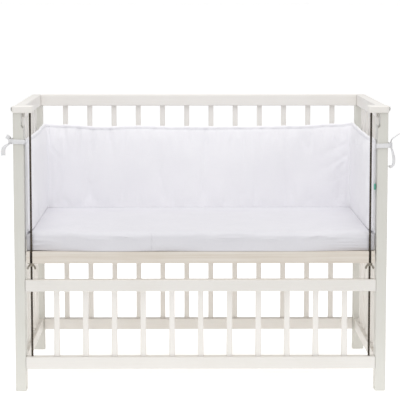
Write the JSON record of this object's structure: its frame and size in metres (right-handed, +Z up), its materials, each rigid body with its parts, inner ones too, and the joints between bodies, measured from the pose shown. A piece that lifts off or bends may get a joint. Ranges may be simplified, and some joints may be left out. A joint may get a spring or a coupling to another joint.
{
  "type": "crib bumper on bedside crib",
  "caption": "Padded cotton crib bumper round the sides and back of an open-fronted bedside crib, tied to its front posts, with a mattress on a base that rods carry.",
  "frame": {"origin": "middle of the footprint, on the floor", "axes": "+X to the right seen from the open side, +Y towards the closed back, +Z up"},
  "size_m": [1.0487, 0.5974, 0.76],
  "materials": {
    "cotton": "white plain-woven cotton over filling",
    "sheet": "white cotton fitted sheet",
    "tape": "white woven cotton tape",
    "tab": "turquoise woven ribbon, blank",
    "paint": "satin ivory paint on hardwood",
    "bare_wood": "bare pale plywood, lightly sanded",
    "steel": "blackened threaded steel"
  },
  "bodies": {
    "root": {"bumper": "cotton", "tie_left": "tape", "tie_right": "tape", "sewn_tab": "tab", "mattress": "sheet", "base_front": "bare_wood", "base_panel": "bare_wood", "base_ledger": "bare_wood", "rod_left": "steel", "rod_right": "steel", "wing_nut_left": "steel", "wing_nut_right": "steel", "cap_left": "paint", "cap_right": "paint", "post_front_left": "paint", "post_front_right": "paint", "post_back_left": "paint", "post_back_right": "paint", "rail_top_back": "paint", "rail_top_left": "paint", "rail_top_right": "paint", "rail_low_back": "paint", "rail_low_front": "paint", "rail_low_left": "paint", "rail_low_right": "paint", "rail_front": "paint", "slat_back_01": "paint", "slat_back_02": "paint", "slat_back_03": "paint", "slat_back_04": "paint", "slat_back_05": "paint", "slat_back_06": "paint", "slat_back_07": "paint", "slat_back_08": "paint", "slat_back_09": "paint", "slat_back_10": "paint", "slat_back_11": "paint", "slat_back_12": "paint", "slat_front_01": "paint", "slat_front_02": "paint", "slat_front_03": "paint", "slat_front_04": "paint", "slat_front_05": "paint", "slat_front_06": "paint", "slat_front_07": "paint", "slat_front_08": "paint", "slat_front_09": "paint", "slat_front_10": "paint", "slat_front_11": "paint", "slat_left_01": "paint", "slat_left_02": "paint", "slat_left_03": "paint", "slat_left_04": "paint", "slat_left_05": "paint", "slat_right_01": "paint", "slat_right_02": "paint", "slat_right_03": "paint", "slat_right_04": "paint", "slat_right_05": "paint"}
  },
  "joints": []
}
